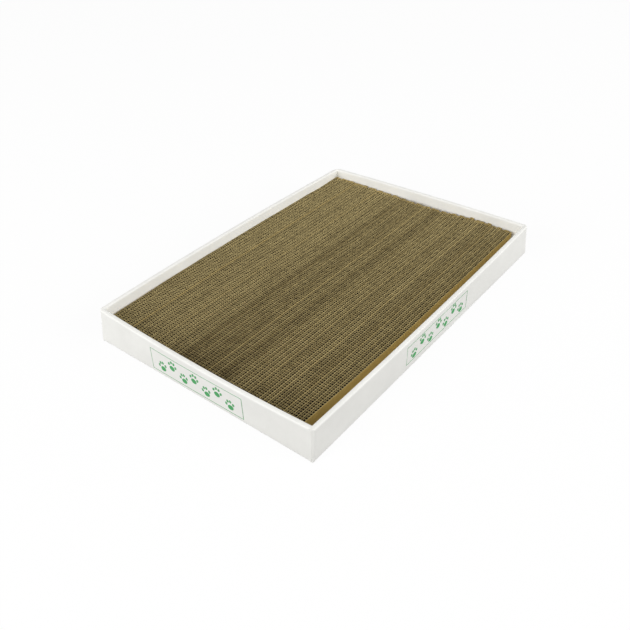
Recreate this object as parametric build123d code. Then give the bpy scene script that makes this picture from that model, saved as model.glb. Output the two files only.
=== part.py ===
from build123d import *

import os
from math import sin

# Cardboard cat scratcher: a folded white board tray with a loose scratching pad.
# Millimetres. The origin is under the middle of the tray, +X runs along its length towards
# the back wall, +Y towards the left wall and +Z up.

# Tray, measured outside
TRAY_LENGTH = 500.0
TRAY_WIDTH = 350.0
TRAY_HEIGHT = 45.0
BOARD = 1.6
WALL = 6.5

# Folds of the tray board
CREASE = 2.0
FLOOR_LAP = 4.0
FLAP_LENGTH = 80.0
FLAP_TAPER = 8.0
FIT = 0.2

# Tabs that lock the rolled walls into the floor
TAB_WIDTH = 40.0
LONG_TAB_SPACING = 260.0
SHORT_TAB_SPACING = 170.0

# Pad of upright corrugated strips
STRIP_COUNT = 56
STRIPS_PER_PAIR = 2
STRIP_LENGTH = 480.0
STRIP_HEIGHT = 30.0
STRIP_THICKNESS = 5.75
LINER = 0.5
FLUTES_PER_STRIP = 27
LEFT_GAP = 1.0
RAGGED_END = 2.0
RAGGED_STEP = 2.4

PAD_WIDTH = STRIP_COUNT * STRIP_THICKNESS + LINER
PAD_RIGHT = TRAY_WIDTH / 2 - WALL - LEFT_GAP - PAD_WIDTH


def folded_section(outside, inside):
    """A face between two rows of corners, each corner rounded as a crease in board."""
    skin = FilletPolyline(*outside, radius=CREASE)
    lining = FilletPolyline(*inside, radius=CREASE - BOARD)
    raw_edges = [Line(outside[0], inside[0]), Line(outside[-1], inside[-1])]
    return make_face([*skin.edges(), *lining.edges(), *raw_edges])


def rolled_section():
    """A rolled wall: in under the tray, up outside, over the rim and down inside."""
    outside = [(FLOOR_LAP, 0), (0, 0), (0, TRAY_HEIGHT), (WALL, TRAY_HEIGHT), (WALL, BOARD)]
    low, high = BOARD, TRAY_HEIGHT - BOARD
    inside = [(FLOOR_LAP, low), (BOARD, low), (BOARD, high), (WALL - BOARD, high), (WALL - BOARD, low)]
    return folded_section(outside, inside)


def tab_places(spacing):
    """Where two tabs stand along a wall."""
    return (-spacing / 2, spacing / 2)


def right_wall():
    """A long rolled wall, notched at its ends for the corner flaps."""
    plane = Plane(origin=(-TRAY_LENGTH / 2, -TRAY_WIDTH / 2, 0), x_dir=(0, 1, 0), z_dir=(1, 0, 0))
    wall = extrude(plane * rolled_section(), amount=TRAY_LENGTH, dir=(1, 0, 0))
    notch = Box(BOARD, WALL - BOARD, TRAY_HEIGHT - 2 * BOARD)
    for end in (-1, 1):
        notch_x = end * (TRAY_LENGTH - BOARD) / 2
        wall -= Pos(notch_x, (WALL + BOARD - TRAY_WIDTH) / 2, TRAY_HEIGHT / 2) * notch
    tab_y = WALL - BOARD / 2 - TRAY_WIDTH / 2
    for tab_x in tab_places(LONG_TAB_SPACING):
        wall += Pos(tab_x, tab_y, BOARD / 2) * Box(TAB_WIDTH, BOARD, BOARD)
    return wall


def front_wall():
    """A short rolled wall, which fits between the two long ones."""
    between = TRAY_WIDTH - 2 * WALL
    plane = Plane(origin=(-TRAY_LENGTH / 2, between / 2, 0), x_dir=(1, 0, 0), z_dir=(0, -1, 0))
    wall = extrude(plane * rolled_section(), amount=between, dir=(0, -1, 0))
    tab_x = WALL - BOARD / 2 - TRAY_LENGTH / 2
    for tab_y in tab_places(SHORT_TAB_SPACING):
        wall += Pos(tab_x, tab_y, BOARD / 2) * Box(BOARD, TAB_WIDTH, BOARD)
    return wall


def tray_floor():
    """The bottom panel, with a slot for every tab."""
    floor_length = TRAY_LENGTH - 2 * FLOOR_LAP
    floor_width = TRAY_WIDTH - 2 * FLOOR_LAP
    floor = Pos(0, 0, BOARD / 2) * Box(floor_length, floor_width, BOARD)
    slot_length = TAB_WIDTH + 2 * FIT
    slot_width = BOARD + 2 * FIT
    from_edge = WALL - BOARD / 2
    for side in (-1, 1):
        slot_y = side * (TRAY_WIDTH / 2 - from_edge)
        for slot_x in tab_places(LONG_TAB_SPACING):
            floor -= Pos(slot_x, slot_y, BOARD / 2) * Box(slot_length, slot_width, BOARD)
        slot_x = side * (TRAY_LENGTH / 2 - from_edge)
        for slot_y in tab_places(SHORT_TAB_SPACING):
            floor -= Pos(slot_x, slot_y, BOARD / 2) * Box(slot_width, slot_length, BOARD)
    return floor


def front_right_flap():
    """The end of the short wall's outer panel, turned at the corner and tucked into the long wall."""
    front = -TRAY_LENGTH / 2
    inner_face = WALL - TRAY_WIDTH / 2
    tucked = BOARD + FIT - TRAY_WIDTH / 2
    tip = front + FLAP_LENGTH
    outside = [(front, inner_face), (front, tucked), (tip, tucked)]
    inside = [(front + BOARD, inner_face), (front + BOARD, tucked + BOARD), (tip, tucked + BOARD)]
    flap_height = TRAY_HEIGHT - 2 * BOARD - 2 * FIT
    flap = extrude(folded_section(outside, inside), amount=flap_height, dir=(0, 0, 1))
    flap = Pos(0, 0, BOARD + FIT) * flap
    tip_corners = flap.edges().filter_by(Axis.Y).group_by(Axis.X)[-1]
    return chamfer(tip_corners, FLAP_TAPER)


def strip(index):
    """One upright strip: a flat liner on its right, and flutes that open upwards on its left."""
    half_pitch = STRIP_LENGTH / FLUTES_PER_STRIP / 2
    end = STRIP_LENGTH / 2
    outline = [(-end, 0), (end, 0)]
    for step in range(2 * FLUTES_PER_STRIP + 1):
        crest = (step + index) % 2 == 0
        outline.append((end - step * half_pitch, STRIP_THICKNESS if crest else LINER))
    flutes = extrude(make_face(Polyline(*outline, close=True)), amount=STRIP_HEIGHT, dir=(0, 0, 1))
    end_shift = RAGGED_END * sin(RAGGED_STEP * index)
    return Pos(end_shift, PAD_RIGHT + index * STRIP_THICKNESS, BOARD) * flutes


def last_liner():
    """The plain sheet that closes the flutes of the last strip, on the left."""
    sheet = Box(STRIP_LENGTH, LINER, STRIP_HEIGHT)
    return Pos(0, PAD_RIGHT + PAD_WIDTH - LINER / 2, BOARD + STRIP_HEIGHT / 2) * sheet


def strip_pairs():
    """Every strip of the pad, two to a node, from the right of the tray to the left."""
    pairs = {}
    for pair in range(STRIP_COUNT // STRIPS_PER_PAIR):
        first = pair * STRIPS_PER_PAIR
        strips = [strip(first + place) for place in range(STRIPS_PER_PAIR)]
        if first + STRIPS_PER_PAIR == STRIP_COUNT:
            strips.append(last_liner())
        pairs[f"strip_pair_{pair + 1:02d}"] = Compound(children=strips)
    return pairs


def turned(shape):
    """The same piece at the opposite side of the tray."""
    return Rot(0, 0, 180) * shape


def nodes():
    """Every piece of the scratcher by name, in its place."""
    right = right_wall()
    front = front_wall()
    front_right = front_right_flap()
    front_left = mirror(front_right, about=Plane.XZ)
    pieces = {
        "tray_floor": tray_floor(),
        "right_wall": right,
        "left_wall": turned(right),
        "front_wall": front,
        "back_wall": turned(front),
        "front_right_flap": front_right,
        "front_left_flap": front_left,
        "back_left_flap": turned(front_right),
        "back_right_flap": turned(front_left),
    }
    return pieces | strip_pairs()


os.makedirs("parts", exist_ok=True)
for name, piece in nodes().items():
    piece.label = name
    export_step(piece, f"parts/{name}.step")
print("right gap", TRAY_WIDTH / 2 - WALL + PAD_RIGHT, "pad width", PAD_WIDTH)
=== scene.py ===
# %% [markdown]
# # A cardboard cat scratcher
# The real thing is two things: a shallow tray folded from white board, and a loose pad of
# corrugated strips that lie in it on edge, so that a cat claws at the open ends of the flutes.
# The CAD frame gives every piece its place and size. This lesson makes the same pieces again with
# what the frame leaves plain: soft folds, walls that give a little, and every flute of the pad.

# %% Load the frame
import math

import bmesh
import bpy
import numpy as np
from mathutils import Matrix, Vector


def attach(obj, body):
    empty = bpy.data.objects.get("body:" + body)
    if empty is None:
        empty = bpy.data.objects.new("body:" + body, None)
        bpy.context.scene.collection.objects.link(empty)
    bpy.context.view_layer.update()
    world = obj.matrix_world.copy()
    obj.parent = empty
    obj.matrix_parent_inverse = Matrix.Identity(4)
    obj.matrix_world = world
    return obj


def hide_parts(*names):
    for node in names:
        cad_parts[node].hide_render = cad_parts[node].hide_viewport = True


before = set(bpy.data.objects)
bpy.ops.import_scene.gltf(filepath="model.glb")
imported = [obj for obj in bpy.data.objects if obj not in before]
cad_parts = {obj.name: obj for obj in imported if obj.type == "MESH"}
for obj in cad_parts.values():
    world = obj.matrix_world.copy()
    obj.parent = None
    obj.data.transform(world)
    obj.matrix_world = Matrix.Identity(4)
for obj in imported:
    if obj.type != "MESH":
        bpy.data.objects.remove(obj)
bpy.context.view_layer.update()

# %% [markdown]
# ## Camera
# The photograph was taken from the front right corner, a little under 40 degrees down. The place
# and lens could be guessed by eye, but the rim edges and two bottom edges of the tray are nearly
# straight lines of known size, so the numbers here come from fitting those lines. The small turn
# about the second axis is the tilt of a camera in the hand.

# %% Place the camera
FOCAL_LENGTH, SENSOR_WIDTH = 39.366, 36.0
CAMERA_PLACE = (-0.6063, -0.4923, 0.5451)
CAMERA_TURN = (53.299, 2.489, -51.392)

camera_data = bpy.data.cameras.new("camera")
camera_data.lens = FOCAL_LENGTH
camera_data.sensor_width = SENSOR_WIDTH
camera_data.clip_start = 0.01
camera = bpy.data.objects.new("camera", camera_data)
camera.location = CAMERA_PLACE
camera.rotation_euler = [math.radians(angle) for angle in CAMERA_TURN]
bpy.context.scene.collection.objects.link(camera)
bpy.context.scene.camera = camera
bpy.context.scene.view_settings.view_transform = "Standard"
print("camera at", tuple(round(v, 3) for v in camera.location))

# %% [markdown]
# ## Small helpers
# An operator acts on whatever is selected, so most steps begin the same way: take one object into
# edit mode, select what a test on the points says, and act on that. Those lines could stand in
# every step, but written once they keep the steps below short.

# %% Helpers for selecting and cutting
# Points within NEAR of a place count as being there, and points within SAME of each other as one.
NEAR, SAME = 1e-5, 1e-6


def work_on(piece):
    """Makes one object the only selected and active one."""
    bpy.ops.object.select_all(action="DESELECT")
    piece.select_set(True)
    bpy.context.view_layer.objects.active = piece


def pick(piece, kind, test):
    """In edit mode, selects the vertices, edges or faces whose every corner passes the test."""
    bpy.ops.mesh.select_mode(type=kind)
    bpy.ops.mesh.select_all(action="DESELECT")
    shape = bmesh.from_edit_mesh(piece.data)
    parts = {"VERT": shape.verts, "EDGE": shape.edges, "FACE": shape.faces}[kind]
    for part in parts:
        corners = [part.co] if kind == "VERT" else [vertex.co for vertex in part.verts]
        if all(test(corner) for corner in corners):
            part.select_set(True)
    shape.select_flush_mode()
    bmesh.update_edit_mesh(piece.data)


def pull(distance):
    """Extrudes the selected edges or faces and moves what was made."""
    bpy.ops.mesh.extrude_region_move(TRANSFORM_OT_translate={"value": distance})


def cut_across(stations, levels=()):
    """In edit mode, cuts a sheet at places along X and at heights, so that it can bend there."""
    cuts = [((station, 0, 0), (1, 0, 0)) for station in stations]
    cuts += [((0, 0, level), (0, 0, 1)) for level in levels]
    for place, direction in cuts:
        bpy.ops.mesh.select_all(action="SELECT")
        bpy.ops.mesh.bisect(plane_co=place, plane_no=direction)


# %% Helpers for whole objects and their points
def finish_with(piece, kind, **settings):
    """Adds a modifier, sets it and applies it."""
    work_on(piece)
    modifier = piece.modifiers.new(kind.lower(), kind)
    for name, value in settings.items():
        setattr(modifier, name, value)
    bpy.ops.object.modifier_apply(modifier=modifier.name)


def twin(piece, name):
    """A copy of a piece with its own mesh."""
    copy = piece.copy()
    copy.data = piece.data.copy()
    copy.name = copy.data.name = name
    bpy.context.scene.collection.objects.link(copy)
    return copy


def joined(pieces, name):
    """Several objects as one."""
    bpy.ops.object.select_all(action="DESELECT")
    for piece in pieces:
        piece.select_set(True)
    bpy.context.view_layer.objects.active = pieces[0]
    bpy.ops.object.join()
    pieces[0].name = pieces[0].data.name = name
    return pieces[0]


def points_of(piece):
    """The points of a mesh as rows of x, y and z."""
    points = np.zeros(len(piece.data.vertices) * 3)
    piece.data.vertices.foreach_get("co", points)
    return points.reshape(-1, 3)


def set_points(piece, points):
    """Writes the points back."""
    piece.data.vertices.foreach_set("co", points.ravel())
    piece.data.update()


# %% [markdown]
# ## White board
# The tray is thin board with a white clay-coated face. Close up that is not one white: the coat is
# a little uneven, its sheen wanders, and small dents and fibres break the surface. A picture could
# be pasted on, but noise textures on Object coordinates give the same at any distance and need no
# file.

# %% Helpers for materials
def new_material(name):
    """A material, with what links its nodes, its shader and a function that adds a node to it."""
    material = bpy.data.materials.new(name)
    material.use_nodes = True
    tree = material.node_tree
    shader = tree.nodes["Principled BSDF"]

    def add(kind, **settings):
        """Adds a node; in_Scale=2.0 sets its input Scale, in_1=2.0 its second input."""
        node = tree.nodes.new(kind)
        for key, value in settings.items():
            if key.startswith("in_"):
                socket = key[3:].replace("_", " ")
                node.inputs[int(socket) if socket.isdigit() else socket].default_value = value
            else:
                setattr(node, key, value)
        return node

    return material, tree.links.new, shader, add


def ramp_between(add, low, high, low_colour, high_colour):
    """A colour ramp from one colour to another between two values."""
    ramp = add("ShaderNodeValToRGB")
    ramp.color_ramp.elements[0].position = low
    ramp.color_ramp.elements[0].color = (*low_colour, 1.0)
    ramp.color_ramp.elements[1].position = high
    ramp.color_ramp.elements[1].color = (*high_colour, 1.0)
    return ramp


# %% White board material
THIN_COAT, FULL_COAT = (0.835, 0.832, 0.800), (0.885, 0.882, 0.850)


def white_board_finish():
    """Clay-coated white board: uneven coat, soft sheen, fine grain and small dents."""
    material, link, shader, add = new_material("white_board")
    place = add("ShaderNodeTexCoord")
    coat = add("ShaderNodeTexNoise", in_Scale=26.0, in_Detail=5.0, in_Roughness=0.6)
    link(place.outputs["Object"], coat.inputs["Vector"])
    colour = ramp_between(add, 0.35, 0.7, THIN_COAT, FULL_COAT)
    link(coat.outputs["Fac"], colour.inputs["Fac"])
    link(colour.outputs["Color"], shader.inputs["Base Color"])
    sheen = add("ShaderNodeMapRange", in_To_Min=0.5, in_To_Max=0.68)
    link(coat.outputs["Fac"], sheen.inputs["Value"])
    link(sheen.outputs["Result"], shader.inputs["Roughness"])
    fibre = add("ShaderNodeTexNoise", in_Scale=420.0, in_Detail=4.0, in_Roughness=0.65)
    link(place.outputs["Object"], fibre.inputs["Vector"])
    grain = add("ShaderNodeBump", in_Strength=0.12, in_Distance=0.0004)
    link(fibre.outputs["Fac"], grain.inputs["Height"])
    dents = add("ShaderNodeTexNoise", in_Scale=34.0, in_Detail=2.0)
    link(place.outputs["Object"], dents.inputs["Vector"])
    hollow = add("ShaderNodeBump", in_Strength=0.18, in_Distance=0.0025)
    link(dents.outputs["Fac"], hollow.inputs["Height"])
    link(grain.outputs["Normal"], hollow.inputs["Normal"])
    link(hollow.outputs["Normal"], shader.inputs["Normal"])
    shader.inputs["Specular IOR Level"].default_value = 0.35
    return material


white_board = white_board_finish()
print("made", white_board.name)

# %% [markdown]
# ## Rolled walls
# Each wall is one strip of board: it comes in under the tray, goes up outside, over the rim and
# down inside, and its tabs lock into slots of the floor. A box with a groove would look stiff.
# Folding a flat plane by extruding its edge is what the board itself does, and rounding the three
# fold lines gives the soft creases. The long and the short wall differ in length and in their
# ends: the long one is cut back inside, where the corner flaps pass, and the short one is drawn
# out until it meets the long ones, because the smallest gap is a dark line in a white corner.

# %% Fold a wall from a flat plane
# The tray's outer box, then the board, the rim, the lap under the tray and a crease's radius.
LENGTH, WIDTH, HEIGHT = 0.500, 0.350, 0.045
BOARD, RIM, LAP, CREASE = 0.0016, 0.0065, 0.004, 0.0019
# A tab's width, and how far apart the middles of a wall's two tabs are.
TAB, LONG_TABS, SHORT_TABS = 0.040, 0.260, 0.170
# In a flat wall, faces beyond INNER are of the inner panel, and those before OUTER of the outer one.
INNER, OUTER = 0.005, 0.001
# Cuts that let a wall bend: evenly along it, close to its two ends, and at these heights.
WALL_CUTS, END_CUTS = 45, (BOARD, 0.003, 0.006)
CUT_LEVELS = (0.008, 0.015, 0.022, 0.029, 0.036, 0.0425)


def at_inner_foot(p):
    """Whether a point is on the lower edge of the inner panel."""
    return abs(p.z - BOARD) < NEAR and p.y > INNER


def pull_tabs(wall, tab_spacing):
    """In edit mode, draws two tabs down from the lower edge of the inner panel."""
    half_tab = TAB / 2 + NEAR
    for middle in (-tab_spacing / 2, tab_spacing / 2):
        pick(wall, "EDGE", lambda p: at_inner_foot(p) and abs(p.x - middle) < half_tab)
        pull((0, 0, -BOARD))


def face_outwards(wall):
    """An open sheet has no inside, so its outer panel decides which way all its faces look."""
    outer_faces = [face for face in wall.data.polygons if face.center.y < OUTER]
    upright = [face.normal.y for face in outer_faces if abs(face.normal.y) > 0.9]
    if sum(upright) > 0:
        wall.data.flip_normals()


def folded_wall(name, length, tab_spacing):
    """A flat wall along X, its outer face at y = 0 and looking towards -Y."""
    bpy.ops.object.select_all(action="DESELECT")
    bpy.ops.mesh.primitive_plane_add(size=1.0)
    wall = bpy.context.active_object
    wall.name = wall.data.name = name
    bpy.ops.object.mode_set(mode="EDIT")
    bpy.ops.transform.resize(value=(length, LAP, 1.0))
    bpy.ops.transform.translate(value=(0.0, LAP / 2, 0.0))
    pick(wall, "EDGE", lambda p: abs(p.y) < NEAR)
    for turn in ((0, 0, HEIGHT), (0, RIM, 0), (0, 0, BOARD - HEIGHT)):
        pull(turn)
    folds = ((0.0, 0.0), (0.0, HEIGHT), (RIM, HEIGHT))
    pick(wall, "EDGE", lambda p: any(math.hypot(p.y - y, p.z - z) < NEAR for y, z in folds))
    bpy.ops.mesh.bevel(offset=CREASE, segments=5, affect="EDGES")
    tab_ends = [side * (tab_spacing + end * TAB) / 2 for side in (-1, 1) for end in (-1, 1)]
    near_ends = [side * (length / 2 - inset) for side in (-1, 1) for inset in END_CUTS]
    evenly = np.linspace(-length / 2, length / 2, WALL_CUTS)[1:-1]
    cut_across(sorted([*evenly, *tab_ends, *near_ends]), CUT_LEVELS)
    pull_tabs(wall, tab_spacing)
    bpy.ops.mesh.select_all(action="SELECT")
    bpy.ops.mesh.remove_doubles(threshold=SAME)
    bpy.ops.mesh.normals_make_consistent(inside=False)
    bpy.ops.object.mode_set(mode="OBJECT")
    face_outwards(wall)
    print(name, "folded with", len(wall.data.polygons), "faces")
    return wall


# %% Fit the ends of the walls
# How far the ends of an inner panel press on the walls beside it.
PRESS = 0.0005
SHORT_LENGTH = WIDTH - 2 * RIM


def open_the_ends(wall, length):
    """Takes the inner panel's last millimetres off, where the corner flaps pass."""
    last_bit = length / 2 - BOARD - NEAR
    under_rim = HEIGHT - CREASE
    work_on(wall)
    bpy.ops.object.mode_set(mode="EDIT")
    pick(wall, "FACE", lambda p: p.y > INNER and abs(p.x) > last_bit and p.z < under_rim)
    bpy.ops.mesh.delete(type="FACE")
    bpy.ops.object.mode_set(mode="OBJECT")


def close_the_joints(wall, length):
    """Draws the ends of the rim, the inner panel and the foot out to the neighbouring walls."""
    under_rim = HEIGHT - 1.1 * CREASE
    regions = (
        (CREASE, lambda p: p.z > under_rim),
        (PRESS, lambda p: p.z < under_rim and p.y > RIM - NEAR),
        (RIM - LAP, lambda p: p.z < BOARD and p.y < LAP + NEAR),
    )
    work_on(wall)
    bpy.ops.object.mode_set(mode="EDIT")
    for end in (-1, 1):
        for reach, belongs in regions:
            pick(wall, "VERT", lambda p: end * p.x > length / 2 - NEAR and belongs(p))
            bpy.ops.transform.translate(value=(end * reach, 0, 0))
    bpy.ops.object.mode_set(mode="OBJECT")


long_sheet = folded_wall("long_sheet", LENGTH, LONG_TABS)
open_the_ends(long_sheet, LENGTH)
short_sheet = folded_wall("short_sheet", SHORT_LENGTH, SHORT_TABS)
close_the_joints(short_sheet, SHORT_LENGTH)

# %% [markdown]
# ## Four walls that give a little
# Board this long never stays straight. The feet of the walls are held by the floor, but higher up
# the left and back rims bow outwards by five millimetres and the right one by less, the front rim
# is drawn in at its two ends, the inner panels ripple where they were pushed down, and the corners
# are worn round and pressed down. A lattice could bend the walls too, but two short formulas say
# exactly how far each point goes, and the flaps, prints and pad can follow the same formulas.

# %% A formula for the ripples
# Metres of wall to a radian of its waves: two ripples of the inner panel, a swell of the outer.
RIPPLE, SMALL_RIPPLE, SWELL = 0.0165, 0.0093, 0.041
SWELL_DEPTH = 0.0004
# Between these two depths the ripples set in, and down to this one the swell dies out.
RIPPLE_FROM, RIPPLE_FULL, SWELL_END = 0.004, 0.006, 0.003


def rippled(points, length, ripple, phase):
    """Gives a flat wall, or a print on it, the small waves of its panels."""
    x, y, z = points.T
    along = 2 * x / length
    rise = np.sin(math.pi * np.clip(z / HEIGHT, 0, 1))
    inner = np.clip((y - RIPPLE_FROM) / (RIPPLE_FULL - RIPPLE_FROM), 0, 1) * rise**1.5
    wave = np.sin(x / RIPPLE + phase) + 0.7 * np.sin(x / SMALL_RIPPLE + 2.3 * phase)
    outer = np.clip((SWELL_END - y) / SWELL_END, 0, 1)
    swell = SWELL_DEPTH * outer * rise * np.sin(x / SWELL + 1.7 * phase)
    moved = points.copy()
    moved[:, 1] += ripple * inner * wave * (1 - along**4) + swell * (1 - along**2)
    return moved


# %% A formula for the lean and the wear
# How far a rim bows out, where along the wall it does most, and half the length of the bow.
BACK_BOW = (0.0050, 0.05, 0.235)
LEFT_BOW = (0.0050, 0.0, LENGTH / 2)
RIGHT_BOW = (0.0016, -0.06, 0.20)
# A wall bows more just above its foot than under its rim, so height counts by this power.
BOW_RISE = 0.6
# How far the front rim is drawn in at its left and right end, and where it stays in place.
DRAWN_LEFT, DRAWN_RIGHT, UNMOVED = 0.0065, 0.0030, -0.04
# How much of each corner is worn away, by its end in X and its side in Y, and how far the rim
# sinks there for what is worn away.
CORNER_WEAR = {(-1, -1): 0.003, (-1, 1): 0.005, (1, -1): 0.005, (1, 1): 0.008}
CORNER_SINK = 0.4
# A wall's lean fades out over this distance inside the tray.
FADE = 0.05


def bowed(place, depth, middle, half):
    """How far a wall bows out at a place along it."""
    return depth * (1 - ((place - middle) / half) ** 2)


def beside(distance):
    """1 for points of a wall, by their distance from its outer face, and 0 well inside the tray."""
    return np.clip(1.2 - distance / FADE, 0, 1)


def settled(points):
    """Moves points of the tray from the straight frame to where the leaning, worn board is."""
    x, y, z = points.T
    lift = np.clip(z / HEIGHT, 0, 1)
    front, back = (beside(LENGTH / 2 - side * x) for side in (-1, 1))
    right, left = (beside(WIDTH / 2 - side * y) for side in (-1, 1))
    to_left = DRAWN_LEFT * ((y - UNMOVED) / (WIDTH / 2 - UNMOVED)) ** 2
    to_right = DRAWN_RIGHT * ((y - UNMOVED) / (WIDTH / 2 + UNMOVED)) ** 2
    drawn_in = np.where(y > UNMOVED, to_left, to_right)
    moved = points.copy()
    moved[:, 0] += lift * front * drawn_in + lift**BOW_RISE * back * bowed(y, *BACK_BOW)
    moved[:, 1] += lift**BOW_RISE * left * bowed(x, *LEFT_BOW) - lift * right * bowed(x, *RIGHT_BOW)
    for (end, side), wear in CORNER_WEAR.items():
        reach = (LENGTH / 2 - end * x) + (WIDTH / 2 - side * y)
        cut = np.clip(wear * (0.5 + 0.5 * lift) - reach, 0, None) / 2
        moved[:, 0] -= end * cut
        moved[:, 1] -= side * cut
        moved[:, 2] -= CORNER_SINK * lift**8 * cut
    return moved


def put_on_side(piece, turn, place):
    """Turns a flat-built piece to its side of the tray and lets it settle there."""
    piece.data.transform(Matrix.Translation(place) @ Matrix.Rotation(math.radians(turn), 4, "Z"))
    set_points(piece, settled(points_of(piece)))


# %% Copy, bend and thicken the walls
# The sheet and its length, the turn and place of the wall, and how deep and where it ripples.
WALLS = {
    "right_wall": (long_sheet, LENGTH, 0, (0, -WIDTH / 2, 0), 0.0003, 0.4),
    "left_wall": (long_sheet, LENGTH, 180, (0, WIDTH / 2, 0), 0.0004, 1.9),
    "front_wall": (short_sheet, SHORT_LENGTH, -90, (-LENGTH / 2, 0, 0), 0.0003, 3.1),
    "back_wall": (short_sheet, SHORT_LENGTH, 90, (LENGTH / 2, 0, 0), 0.0006, 4.4),
}

for node, (sheet, length, turn, place, ripple, phase) in WALLS.items():
    wall = twin(sheet, node + "_board")
    set_points(wall, rippled(points_of(wall), length, ripple, phase))
    finish_with(wall, "SOLIDIFY", thickness=BOARD, offset=-1.0, use_even_offset=True)
    put_on_side(wall, turn, place)
    work_on(wall)
    bpy.ops.object.shade_smooth_by_angle(angle=math.radians(40))
    wall.data.materials.append(white_board)
    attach(wall, "tray")
    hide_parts(node)
    print(wall.name, "faces", len(wall.data.polygons))

for sheet in (long_sheet, short_sheet):
    bpy.data.objects.remove(sheet)

# %% [markdown]
# ## Floor and corner flaps
# The floor panel is flat board with straight cuts, and the frame already has it right, so it only
# needs the board's finish. The four flaps that turn the corners inside the long walls are right
# too, but they have to lean with those walls. Modelling them anew would give the same flat panels,
# so a copy of each is merged, cut finer, pressed tight at its fold and settled by the formula above.

# %% Dress the floor
floor_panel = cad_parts["tray_floor"]
floor_panel.data.materials.clear()
floor_panel.data.materials.append(white_board)
print("dressed", floor_panel.name)

# %% Settle the corner flaps
# The frame's clearance round a flap, the radius of its fold, and the power that squares the fold.
FIT, FOLD, SQUARE = 0.0002, 0.002, 8
# Each flap's corner, by its end in X and its side in Y.
FLAPS = {
    "front_right_flap": (-1, -1),
    "front_left_flap": (-1, 1),
    "back_left_flap": (1, 1),
    "back_right_flap": (1, -1),
}


def tight_fold(points, end, side):
    """Presses a flap's round fold on the end of the long wall, and its edges on lap and rim."""
    moved = points.copy()
    room = HEIGHT / 2 - BOARD
    moved[:, 2] = HEIGHT / 2 + (points[:, 2] - HEIGHT / 2) * room / (room - FIT)
    outward_x = FOLD - (LENGTH / 2 - end * points[:, 0])
    outward_y = FOLD - (WIDTH / 2 - BOARD - FIT - side * points[:, 1])
    at_fold = (outward_x > 0) & (outward_y > 0)
    x, y = outward_x[at_fold], outward_y[at_fold]
    push = np.hypot(x, y) / (x**SQUARE + y**SQUARE) ** (1 / SQUARE) - 1
    moved[at_fold, 0] += end * x * push
    moved[at_fold, 1] += side * y * push
    return moved


for node, (end, side) in FLAPS.items():
    flap = twin(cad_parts[node], node + "_board")
    work_on(flap)
    bpy.ops.object.mode_set(mode="EDIT")
    bpy.ops.mesh.select_all(action="SELECT")
    bpy.ops.mesh.remove_doubles(threshold=SAME)
    bpy.ops.mesh.subdivide(number_cuts=5)
    bpy.ops.object.mode_set(mode="OBJECT")
    set_points(flap, settled(tight_fold(points_of(flap), end, side)))
    bpy.ops.object.shade_flat()
    flap.data.materials.clear()
    flap.data.materials.append(white_board)
    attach(flap, "tray")
    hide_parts(node)
    print(flap.name, "faces", len(flap.data.polygons))

# %% [markdown]
# ## Prints on two walls
# The front and the right wall carry a print: a row of plain paws inside a thin frame, in green.
# Ink could be painted by the wall's material, but a print as a film of its own keeps sharp edges
# at any distance. A paw is five discs made once; the frame is a plane whose middle is cut out.

# %% Green ink
THIN_INK, FULL_INK = (0.045, 0.300, 0.085), (0.085, 0.375, 0.135)


def ink_finish():
    """Matt green printing ink, a little uneven where the board took less of it."""
    material, link, shader, add = new_material("green_ink")
    place = add("ShaderNodeTexCoord")
    cover = add("ShaderNodeTexNoise", in_Scale=330.0, in_Detail=4.0, in_Roughness=0.65)
    link(place.outputs["Object"], cover.inputs["Vector"])
    colour = ramp_between(add, 0.3, 0.75, THIN_INK, FULL_INK)
    link(cover.outputs["Fac"], colour.inputs["Fac"])
    link(colour.outputs["Color"], shader.inputs["Base Color"])
    matt = add("ShaderNodeMapRange", in_To_Min=0.55, in_To_Max=0.75)
    link(cover.outputs["Fac"], matt.inputs["Value"])
    link(matt.outputs["Result"], shader.inputs["Roughness"])
    return material


green_ink = ink_finish()
print("made", green_ink.name)

# %% One paw and one frame, flat
# Width and height of the palm and of a toe, and where they lie.
PALM_SIZE, TOE_SIZE = (0.0076, 0.0062), (0.0028, 0.0038)
PALM = (0, -0.0028)
TOES = ((-0.0048, 0.0012), (-0.0018, 0.0046), (0.0018, 0.0046), (0.0048, 0.0012))
FRAME_LINE, FRAME_CUTS = 0.0006, 25
STAND_UP = Matrix.Rotation(math.radians(90), 4, "X")


def upright_disc(place, size, corners):
    """A flat disc in the XZ plane."""
    bpy.ops.object.select_all(action="DESELECT")
    bpy.ops.mesh.primitive_circle_add(vertices=corners, radius=0.5, fill_type="NGON")
    disc = bpy.context.active_object
    stretch = Matrix.Diagonal((size[0], 1.0, size[1], 1.0))
    disc.data.transform(Matrix.Translation((place[0], 0, place[1])) @ stretch @ STAND_UP)
    return disc


def thin_frame(width, height):
    """A rectangle of thin lines, cut across so that it can follow a wall."""
    bpy.ops.object.select_all(action="DESELECT")
    bpy.ops.mesh.primitive_plane_add(size=1.0)
    border = bpy.context.active_object
    border.data.transform(Matrix.Diagonal((width, 1, height, 1)) @ STAND_UP)
    bpy.ops.object.mode_set(mode="EDIT")
    bpy.ops.mesh.select_all(action="SELECT")
    bpy.ops.mesh.inset(thickness=FRAME_LINE)
    bpy.ops.mesh.delete(type="FACE")
    cut_across(np.linspace(-width / 2, width / 2, FRAME_CUTS)[1:-1])
    bpy.ops.object.mode_set(mode="OBJECT")
    return border


toes = [upright_disc(toe, TOE_SIZE, 16) for toe in TOES]
paw = joined([upright_disc(PALM, PALM_SIZE, 24), *toes], "paw")
print("one paw of", len(paw.data.polygons), "discs")

# %% Lay the prints on the walls
# The wall, the print's place along it and its level, and the frame's width and height.
PRINTS = {
    "front_print": ("front_wall", 0.0028, 0.0206, 0.150, 0.031),
    "right_print": ("right_wall", -0.0037, 0.0233, 0.143, 0.0267),
}
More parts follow.
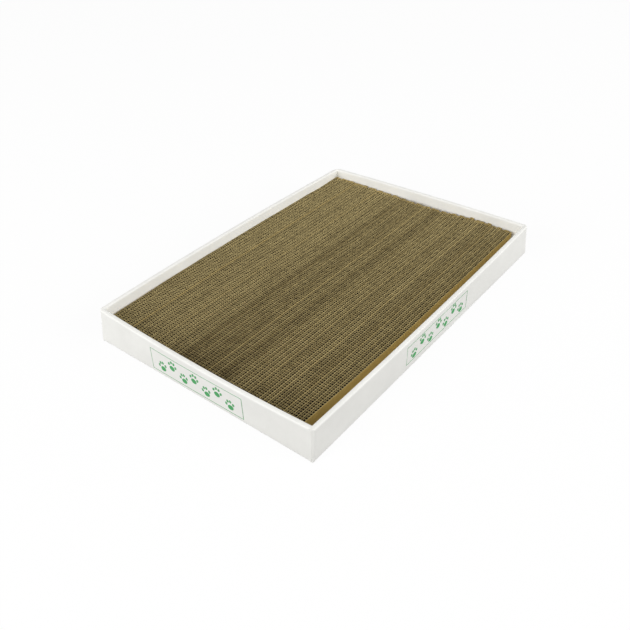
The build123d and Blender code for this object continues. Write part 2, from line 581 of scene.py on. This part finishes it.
# How thick the film is, how many paws there are, and how far one is from the next.
INK, PAW_COUNT, PAW_STEP = 0.00012, 7, 0.0185
# How far a paw is off the middle of the row, how many degrees it turns, and its scale.
PAW_ASIDE, PAW_TURN, PAW_SCALE = 0.0045, 12, 1.15


def row_of_paws():
    """Copies of the paw along X, above and below the middle by turns."""
    row = []
    for step in range(PAW_COUNT):
        side = 1 if step % 2 else -1
        along = (step - PAW_COUNT // 2) * PAW_STEP
        tilt = Matrix.Rotation(math.radians(side * PAW_TURN), 4, "Y")
        mark = twin(paw, "step")
        place = Matrix.Translation((along, 0, side * PAW_ASIDE))
        mark.data.transform(place @ tilt @ Matrix.Scale(PAW_SCALE, 4))
        row.append(mark)
    return row


for name, (node, middle, level, width, height) in PRINTS.items():
    length, turn, place, ripple, phase = WALLS[node][1:]
    film = joined([thin_frame(width, height), *row_of_paws()], name)
    film.data.transform(Matrix.Translation((middle, -INK / 2, level)))
    set_points(film, rippled(points_of(film), length, ripple, phase))
    finish_with(film, "SOLIDIFY", thickness=INK, offset=0.0)
    put_on_side(film, turn, place)
    film.data.materials.append(green_ink)
    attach(film, "tray")
    print(name, "faces", len(film.data.polygons))
bpy.data.objects.remove(paw)

# %% [markdown]
# ## Kraft paper
# The pad's paper is brown and matt. Where the board was sawn, the cut edges are pale and furry;
# below them the flute walls are painted near black, as painted shade for the light that hardly
# comes back out of the flutes; the plain outer faces are a warmer tan, painted lighter than the
# paper is, as painted light where the walls shade them. Each could have a material of its own,
# but one that reads three numbers from the points of the pad lets them run into each other: rise
# goes from 0 at the foot of a strip to 1 at its sawn top, open_face says how much a sheet looks
# out of the pad, and paper_tone how light it is, with painted light towards the back of the pad
# and painted shade at its front.

# %% Kraft paper material
# The darkest and the lightest paper of each kind; the flutes' near black is painted shade.
SAWN_EDGE = ((0.105, 0.070, 0.025), (0.64, 0.51, 0.232))
FLUTE_PAINTED_SHADE = ((0.003, 0.002, 0.001), (0.010, 0.006, 0.003))
# Open faces: their tan, made lighter than the paper is, as painted light where the walls shade them.
OPEN_TAN_AND_PAINTED_LIGHT = ((0.44, 0.29, 0.080), (0.63, 0.45, 0.145))


def kraft_finish():
    """Unbleached paper: pale sawn edges, painted shade in the flutes, painted light on the tan
    faces.
    """
    material, link, shader, add = new_material("kraft_paper")
    place = add("ShaderNodeTexCoord")
    tone = add("ShaderNodeAttribute", attribute_name="paper_tone")
    open_face = add("ShaderNodeAttribute", attribute_name="open_face")
    rise = add("ShaderNodeAttribute", attribute_name="rise")
    blotch = add("ShaderNodeTexNoise", in_Scale=55.0, in_Detail=4.0, in_Roughness=0.6)
    link(place.outputs["Object"], blotch.inputs["Vector"])
    fibre = add("ShaderNodeTexNoise", in_Scale=450.0, in_Detail=3.0, in_Roughness=0.7)
    link(place.outputs["Object"], fibre.inputs["Vector"])
    mixed = add("ShaderNodeMath", operation="MULTIPLY_ADD", in_1=0.45)
    link(blotch.outputs["Fac"], mixed.inputs[0])
    link(tone.outputs["Fac"], mixed.inputs[2])
    speck = add("ShaderNodeMath", operation="MULTIPLY_ADD", in_1=1.1)
    link(fibre.outputs["Fac"], speck.inputs[0])
    link(mixed.outputs["Value"], speck.inputs[2])
    lightness = add("ShaderNodeMapRange", in_From_Min=0.75, in_From_Max=1.75)
    link(speck.outputs["Value"], lightness.inputs["Value"])
    # The flute ramp is painted shade, near black where light hardly comes back out of the flutes.
    sawn, inside, face = (
        ramp_between(add, 0.0, 1.0, *colours) for colours in (SAWN_EDGE, FLUTE_PAINTED_SHADE, OPEN_TAN_AND_PAINTED_LIGHT)
    )
    for ramp in (sawn, inside, face):
        link(lightness.outputs["Result"], ramp.inputs["Fac"])
    paper = add("ShaderNodeMix", data_type="RGBA")
    link(open_face.outputs["Fac"], paper.inputs["Factor"])
    link(inside.outputs["Color"], paper.inputs["A"])
    link(face.outputs["Color"], paper.inputs["B"])
    # Only the top of a strip takes the pale sawn colour; below it the flutes' painted shade takes
    # over.
    near_top = add("ShaderNodeMapRange", in_From_Min=0.991, in_From_Max=0.9995)
    link(rise.outputs["Fac"], near_top.inputs["Value"])
    fade = add("ShaderNodeMath", operation="POWER", in_1=1.3)
    link(near_top.outputs["Result"], fade.inputs[0])
    whole = add("ShaderNodeMix", data_type="RGBA")
    link(fade.outputs["Value"], whole.inputs["Factor"])
    link(paper.outputs["Result"], whole.inputs["A"])
    link(sawn.outputs["Color"], whole.inputs["B"])
    link(whole.outputs["Result"], shader.inputs["Base Color"])
    bump = add("ShaderNodeBump", in_Strength=0.25, in_Distance=0.0003)
    link(fibre.outputs["Fac"], bump.inputs["Height"])
    link(bump.outputs["Normal"], shader.inputs["Normal"])
    shader.inputs["Roughness"].default_value = 0.92
    shader.inputs["Specular IOR Level"].default_value = 0.2
    return material


kraft_paper = kraft_finish()
print("made", kraft_paper.name)

# %% [markdown]
# ## One length of double-wall board
# The strips are cut from board with two fluted layers between flat liners, one 3 mm deep and one
# 2 mm. Their waves have wide beds and narrow crests. All the flutes could be drawn as one outline,
# but one wave is enough work: a narrow upright grid is pushed into a wave column by column, an
# Array modifier repeats it, and Solidify gives it the thickness of paper. The board is made longer
# than a strip, because every strip is cut from it at a place of its own, and its layers stay apart
# until then, so that each is cut and closed by itself.

# %% Numbers on the points of the paper
STRIP_HEIGHT, BOARD_LENGTH = 0.030, 0.512


def store(piece, name, values):
    """Keeps a number on each point of a mesh, for its material to read."""
    if name not in piece.data.attributes:
        piece.data.attributes.new(name, "FLOAT", "POINT")
    piece.data.attributes[name].data.foreach_set("value", values.astype(np.float32))


def give_tone(piece, tone):
    """Stores on the points of a sheet how light it is and how high up its strip they are."""
    heights = (points_of(piece)[:, 2] - BOARD) / STRIP_HEIGHT
    store(piece, "paper_tone", np.full(len(heights), tone))
    store(piece, "rise", heights)
    store(piece, "open_face", np.zeros(len(heights)))


# %% A layer of flutes
# Length of a wave, width of its crest and of each flank, then its points along it and their side.
WAVE, CREST, FLANK = 0.00375, 0.00055, 0.0004
WAVE_SHAPE = (
    (-WAVE / 2, 1), (-CREST / 2 - FLANK, 1), (-CREST / 2, -1),
    (CREST / 2, -1), (CREST / 2 + FLANK, 1), (WAVE / 2, 1),
)
# The columns of the grid start this many times too far apart, so that each is picked by itself.
SPREAD = 100.0


def fluted_layer(name, paper, gap, start, tone):
    """A layer of waves along X that fills a gap between two liners."""
    last = len(WAVE_SHAPE) - 1
    bpy.ops.object.select_all(action="DESELECT")
    bpy.ops.mesh.primitive_grid_add(x_subdivisions=last, y_subdivisions=1, size=1.0)
    layer = bpy.context.active_object
    layer.name = layer.data.name = name
    bpy.ops.object.mode_set(mode="EDIT")
    bpy.ops.transform.rotate(value=math.pi / 2, orient_axis="X", center_override=(0, 0, 0))
    bpy.ops.transform.resize(value=(WAVE, 1.0, STRIP_HEIGHT))
    bpy.ops.transform.translate(value=(0, start + gap / 2, STRIP_HEIGHT / 2 + BOARD))
    bpy.ops.transform.resize(value=(SPREAD, 1.0, 1.0), center_override=(0, 0, 0))
    for step, (place, side) in enumerate(WAVE_SHAPE):
        column = SPREAD * WAVE * (step / last - 0.5)
        pick(layer, "VERT", lambda p: abs(p.x - column) < WAVE)
        bpy.ops.transform.translate(value=(place - column, side * (gap - paper) / 2, 0))
    bpy.ops.object.mode_set(mode="OBJECT")
    count = round(BOARD_LENGTH / WAVE)
    finish_with(
        layer, "ARRAY", count=count, use_relative_offset=False, use_constant_offset=True,
        constant_offset_displace=(WAVE, 0, 0), use_merge_vertices=True, merge_threshold=NEAR,
    )
    finish_with(layer, "SOLIDIFY", thickness=paper, offset=0.0, use_even_offset=True)
    layer.data.transform(Matrix.Translation((-(count - 1) * WAVE / 2, 0, 0)))
    give_tone(layer, tone)
    print(name, count, "waves,", len(layer.data.polygons), "faces")
    return layer


# %% Flat liners, and the four layers of the board
# Thickness of a liner, of two glued together, and of the coarse and the fine flutes.
LINER, GLUED, COARSE, FINE = 0.00030, 0.00050, 0.00031, 0.00040
# The room for each kind of flutes between the liners, and the cuts that let a liner bend.
COARSE_GAP, FINE_GAP, LINER_CUTS = 0.00305, 0.00190, 63


def flat_layer(name, paper, start, tone):
    """A liner of the board, in short lengths so that it can bend with the pad."""
    bpy.ops.object.select_all(action="DESELECT")
    bpy.ops.mesh.primitive_cube_add(size=1.0)
    layer = bpy.context.active_object
    layer.name = layer.data.name = name
    bpy.ops.object.mode_set(mode="EDIT")
    bpy.ops.transform.resize(value=(BOARD_LENGTH, paper, STRIP_HEIGHT))
    bpy.ops.transform.translate(value=(0, start + paper / 2, STRIP_HEIGHT / 2 + BOARD))
    bpy.ops.mesh.select_mode(type="EDGE")
    shape = bmesh.from_edit_mesh(layer.data)
    for edge in shape.edges:
        edge.select_set(abs(edge.verts[0].co.x - edge.verts[1].co.x) > BOARD_LENGTH / 2)
    bmesh.update_edit_mesh(layer.data)
    bpy.ops.mesh.subdivide(number_cuts=LINER_CUTS)
    bpy.ops.object.mode_set(mode="OBJECT")
    give_tone(layer, tone)
    print(name, len(layer.data.polygons), "faces")
    return layer


coarse_end = GLUED + COARSE_GAP
layers = [
    flat_layer("outer_liner", GLUED, start=0.0, tone=0.82),
    fluted_layer("coarse_flutes", COARSE, COARSE_GAP, start=GLUED, tone=0.70),
    flat_layer("middle_liner", LINER, start=coarse_end, tone=0.40),
    fluted_layer("fine_flutes", FINE, FINE_GAP, start=coarse_end + LINER, tone=0.54),
]
for layer in layers:
    layer.data.materials.append(kraft_paper)
print("board of", len(layers), "layers")

# %% [markdown]
# ## Fifty-six strips
# A pad is a stack of such strips on edge, glued face to face. Copies that are all the same would
# look printed, so each one is slid along before it is cut, which shifts its flutes, more so in the
# loose left third. It is cut a little further forward or back than its neighbour, and gets its own
# tone. Then the points bend as the whole pad does: its lines waver, its corners are drawn in, the
# left strips follow the bowed left wall, and the back ends reach for the back wall and curl up.
# Each strip could be pushed about by hand, but a formula with the strip's number in it does all.

# %% Choose how the strips differ
STRIP_COUNT, STRIP_LENGTH, STRIP_STEP = 56, 0.480, 0.00575
PAD_RIGHT, LOOSE_FROM = -0.155, 33
# How far strips drift from one to the next, and how loosely they lie right and left.
DRIFT, TIGHT, LOOSE = 0.00025, 0.00022, 0.0011
# How unlike the strips are in height and in tone, and how ragged the pad's ends are.
UNEVEN, UNLIKE, RAGGED = 0.00022, 0.055, 0.002
# First strip of each bundle of board, and how much lighter, or below 0 darker, its paper is.
BUNDLES = {
    0: -0.06, 7: -0.02, 10: -0.08, 13: 0.00, 16: -0.07,
    23: -0.05, 26: -0.09, 33: 0.08, 38: 0.07, 49: 0.13,
}
# How far the back ends of some strips reach and curl up; those between follow their neighbours.
REACH = {
    0: 0.0010, 3: 0.0022, 6: 0.0038, 13: 0.0038, 17: 0.0018, 20: 0.0002, 27: 0.0,
    31: 0.0018, 37: 0.0038, 41: 0.0045, 46: 0.0050, 51: 0.0054, 56: 0.0057,
}
CURL = {0: 0.0003, 3: 0.0006, 6: 0.0010, 13: 0.0010, 17: 0.0, 37: 0.0003, 46: 0.0011, 56: 0.0020}

chance = np.random.default_rng(56)
order = np.arange(STRIP_COUNT + 1)
drift = np.cumsum(chance.normal(0.0, DRIFT, STRIP_COUNT))
slack = np.where(order[:STRIP_COUNT] < LOOSE_FROM, TIGHT, LOOSE)
slides = drift + slack * chance.normal(0.0, 1.0, STRIP_COUNT)
levels = np.append(chance.normal(0, UNEVEN, STRIP_COUNT), 0.0)
tones = np.append(chance.normal(0, UNLIKE, STRIP_COUNT), 0.0)
tones[:STRIP_COUNT] += np.repeat(list(BUNDLES.values()), np.diff([*BUNDLES, STRIP_COUNT]))
ragged = RAGGED * np.sin(2.4 * order)
# From strip 36 on, the back wall presses the ragged ends more and more even.
pressed_even = 0.6 * ragged * np.clip((order - 36) / 10, 0, 1)
reaches = np.interp(order, list(REACH), list(REACH.values())) - pressed_even
curls = np.interp(order, list(CURL), list(CURL.values()))
print("strips slide by up to", round(1000 * np.abs(slides).max(), 2), "mm")

# %% Cut the strips
def trim(sheet, shift):
    """Saws a sheet to a strip's length and closes its two ends."""
    work_on(sheet)
    bpy.ops.object.mode_set(mode="EDIT")
    bpy.ops.mesh.select_mode(type="VERT")
    for end in (-1, 1):
        cut = {"plane_co": (end * STRIP_LENGTH / 2 + shift, 0, 0), "plane_no": (end, 0, 0)}
        bpy.ops.mesh.select_all(action="SELECT")
        bpy.ops.mesh.bisect(**cut, use_fill=True, clear_outer=True)
    bpy.ops.object.mode_set(mode="OBJECT")


def cut_strip(index):
    """One strip of four layers, cut from the board at its own place, still at the pad's right."""
    sheets = [twin(layer, f"{layer.name}_{index + 1:02d}") for layer in layers]
    for sheet in sheets:
        sheet.data.transform(Matrix.Translation((slides[index], 0, 0)))
        trim(sheet, ragged[index])
    return joined(sheets, f"strip_{index + 1:02d}")


strips = [cut_strip(index) for index in range(STRIP_COUNT)]
print(len(strips), "strips,", sum(len(strip.data.polygons) for strip in strips), "faces")

# %% Where a strip lies in the pad
# How rough the sawn top is and how far the lines waver.
ROUGH, WAVER = 0.00018, 0.00028
# How far the pad's right and left edges are drawn in, at the front and at the back end.
RIGHT_PINCH, LEFT_PINCH = (0.0035, 0.0025), (0.003, 0.0003)
# How far the left edge presses on its wall, and how long the bent back ends are.
LEFT_PRESS, BENT_END = 0.0005, 0.040


def at_ends(along):
    """Two numbers for each point that grow towards the front and the back end of a strip."""
    return np.clip(-along, 0, None) ** 2, np.clip(along, 0, None) ** 2


def laid_in_pad(points, along, index):
    """Where the points of a strip lie in the pad; two sines out of step pass for chance."""
    x, y, z = points.T
    top = z > BOARD + STRIP_HEIGHT / 2
    rough = np.sin(x * 2900 + index) * np.sin(x * 1730 + 2.1 * index)
    z = z + np.where(top, levels[index] + ROUGH * rough, 0.0)
    waver = np.sin(x / 0.052 + 0.09 * index) + 0.6 * np.sin(x / 0.023 + 0.23 * index)
    y = y + (PAD_RIGHT + index * STRIP_STEP) + WAVER * waver
    across = (y - PAD_RIGHT) / (STRIP_COUNT * STRIP_STEP)
    front, back = at_ends(along)
    y = y + (1 - across) * (RIGHT_PINCH[0] * front + RIGHT_PINCH[1] * back)
    y = y - across * (LEFT_PINCH[0] * front + LEFT_PINCH[1] * back)
    lift = np.clip(z / HEIGHT, 0, 1)
    y = y + across**2 * (LEFT_PRESS + lift**BOW_RISE * bowed(x, *LEFT_BOW))
    bent = np.clip((x - STRIP_LENGTH / 2) / BENT_END + 1, 0, 1)
    z = z + np.where(top, curls[index] * bent, 0.0)
    x = x + reaches[index] * bent * (0.3 + lift)
    return np.column_stack((x, y, z))


# %% Tone and lay the strips
# Strips whose liner shows its tan face, and strips with a darker seam.
TAN_LINERS = (1, 3, 5, 6, 9, 12, 14, 17, 19, 22, 25, 27, 30, 32, 41, 49)
OPEN_SEAMS = (26, 33, 48)
# How tan sawn ends and such liners are beside the pad's open faces, and where sawn ends begin.
END_TAN, LINER_TAN, SAWN_FROM = 0.7, 0.5, 0.985
# The tone of an open seam, and what liners and flutes of the loose strips gain.
SEAM_TONE, LOOSE_LINER, LOOSE_FLUTES = 0.45, -0.20, 0.05
# Painted light: how much lighter the back end is than the middle, and the front end darker.
BACK_PAINTED_LIGHT = 0.08
# Painted shade: how much darker the front gets, at which strip most, and how many beside share it.
FRONT_SHADE, SHADE_AT, SHADE_SPREAD = 0.12, 26, 8
# Points nearer than this to y = 0 are on the right face of their sheet.
SKIN = 0.0001


def open_faces(points, along, liner, index):
    """How much a strip's points show the open tan with painted light, not the flutes' painted shade.
    """
    faces = np.where(np.abs(along) > SAWN_FROM, END_TAN, 0.0)
    if index in TAN_LINERS:
        faces[liner] = LINER_TAN
    if index == 0:
        faces[points[:, 1] < SKIN] = 1.0
    if index == STRIP_COUNT:
        faces[points[:, 1] > SKIN] = 1.0
    return faces


def paper_tones(strip, along, liner, index):
    """How light a strip's points are: painted light towards the back, painted shade at the front
    middle.
    """
    values = np.zeros(len(strip.data.vertices), np.float32)
    strip.data.attributes["paper_tone"].data.foreach_get("value", values)
    if index in OPEN_SEAMS:
        values[liner] = SEAM_TONE
    elif index > LOOSE_FROM:
        values[liner] += LOOSE_LINER
        values[~liner] += LOOSE_FLUTES
    front = at_ends(along)[0]
    shade = FRONT_SHADE * front * math.exp(-(((index - SHADE_AT) / SHADE_SPREAD) ** 2))
    return values + tones[index] + BACK_PAINTED_LIGHT * along - shade


def bend_with_pad(strip, index):
    """Gives a strip its tones and its place in the pad."""
    points = points_of(strip)
    along = 2 * points[:, 0] / STRIP_LENGTH
    liner = points[:, 1] < GLUED + NEAR
    store(strip, "open_face", open_faces(points, along, liner, index))
    store(strip, "paper_tone", paper_tones(strip, along, liner, index))
    set_points(strip, laid_in_pad(points, along, index))


for index, strip in enumerate(strips):
    bend_with_pad(strip, index)
print("bent", len(strips), "strips")

# %% [markdown]
# ## Closing liner and pairs
# The last strip on the left would show open flutes along its side, so a plain liner closes it. The
# strips could stay single, but they are joined two and two, as the frame has them, so that each
# pair takes the place of one node. Every pair rides on the pad, which lifts out in one piece.

# %% Close the pad and join the pairs
closing = flat_layer("closing_liner", GLUED, start=0.0, tone=0.62)
closing.data.materials.append(kraft_paper)
trim(closing, 0.0)
bend_with_pad(closing, STRIP_COUNT)

for pair in range(STRIP_COUNT // 2):
    members = strips[2 * pair : 2 * pair + 2]
    if pair == STRIP_COUNT // 2 - 1:
        members.append(closing)
    fluted = joined(members, f"fluted_pair_{pair + 1:02d}")
    work_on(fluted)
    bpy.ops.object.shade_smooth_by_angle(angle=math.radians(50))
    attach(fluted, "pad")
    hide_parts(f"strip_pair_{pair + 1:02d}")
for layer in layers:
    bpy.data.objects.remove(layer)
print("joined", STRIP_COUNT // 2, "pairs")

# %% [markdown]
# ## Light and floor
# The photograph has no dark side: white light comes from all round, a little more on the two walls
# in view. One lamp from above would leave those walls grey, so a bright world gives the evenness
# and two broad softboxes, far off and low, face a wall each. The floor is white to the camera,
# with a little plain paper mixed in that keeps a soft shadow, so that the tray stands on something.
# To all other rays it is dark, because light thrown back by a white floor would flatten the walls.

# %% Light the studio
WORLD_TINT, WORLD_LIGHT = (1.0, 0.995, 0.985, 1.0), 0.53
PLAIN_WHITE = (1.0, 1.0, 1.0, 1.0)
# Place and power of each softbox; all look at the origin.
SOFTBOX_SIZE = 2.0
SOFTBOXES = {
    "left_softbox": ((-3.0, 0.8, 1.25), 73.5),
    "right_softbox": ((0.8, -3.0, 1.25), 69.5),
}


def show_instead(tree, usual, shown, output):
    """Gives camera, mirror and glass rays another shader than the one that lights the scene."""
    rays = tree.nodes.new("ShaderNodeLightPath")
    seen = rays.outputs["Is Camera Ray"]
    for kind in ("Is Glossy Ray", "Is Transmission Ray"):
        either = tree.nodes.new("ShaderNodeMath")
        either.operation = "ADD"
        either.use_clamp = True
        tree.links.new(seen, either.inputs[0])
        tree.links.new(rays.outputs[kind], either.inputs[1])
        seen = either.outputs["Value"]
    mix = tree.nodes.new("ShaderNodeMixShader")
    tree.links.new(seen, mix.inputs["Fac"])
    tree.links.new(usual, mix.inputs[1])
    tree.links.new(shown, mix.inputs[2])
    tree.links.new(mix.outputs["Shader"], tree.nodes[output].inputs["Surface"])


world = bpy.data.worlds.new("studio")
bpy.context.scene.world = world
world.use_nodes = True
sky = world.node_tree.nodes["Background"]
sky.inputs["Color"].default_value = WORLD_TINT
sky.inputs["Strength"].default_value = WORLD_LIGHT
backdrop = world.node_tree.nodes.new("ShaderNodeBackground")
backdrop.inputs["Color"].default_value = PLAIN_WHITE
show_instead(
    world.node_tree, sky.outputs["Background"], backdrop.outputs["Background"], "World Output"
)

for name, (place, power) in SOFTBOXES.items():
    lamp_data = bpy.data.lights.new(name, "AREA")
    lamp_data.shape = "SQUARE"
    lamp_data.size = SOFTBOX_SIZE
    lamp_data.energy = power
    lamp = bpy.data.objects.new(name, lamp_data)
    lamp.location = place
    lamp.rotation_euler = (-Vector(place)).to_track_quat("-Z", "Y").to_euler()
    bpy.context.scene.collection.objects.link(lamp)
print("lit with world", WORLD_LIGHT, "and", len(SOFTBOXES), "softboxes")

# %% Lay the studio floor
# The floor is a hair under the tray. Its glow is the share of plain white that the camera sees.
FLOOR_SIZE, FLOOR_LEVEL, FLOOR_GLOW = 12.0, -0.0002, 0.93
FLOOR_DARK, FLOOR_PAPER = (0.05, 0.048, 0.044, 1.0), (0.95, 0.95, 0.95, 1.0)

bpy.ops.object.select_all(action="DESELECT")
bpy.ops.mesh.primitive_plane_add(size=FLOOR_SIZE, location=(0, 0, FLOOR_LEVEL))
floor = bpy.context.active_object
floor.name = "studio_floor"
floor_material, floor_link, floor_shader, floor_add = new_material("studio_white")
floor_shader.inputs["Base Color"].default_value = FLOOR_DARK
floor_shader.inputs["Roughness"].default_value = 0.9
glow = floor_add("ShaderNodeEmission")
paper = floor_add("ShaderNodeBsdfDiffuse", in_Color=FLOOR_PAPER)
seen_floor = floor_add("ShaderNodeMixShader", in_0=FLOOR_GLOW)
floor_link(paper.outputs["BSDF"], seen_floor.inputs[1])
floor_link(glow.outputs["Emission"], seen_floor.inputs[2])
show_instead(
    floor_material.node_tree, floor_shader.outputs["BSDF"], seen_floor.outputs["Shader"],
    "Material Output",
)
floor.data.materials.append(floor_material)
print("floor of", FLOOR_SIZE, "m")
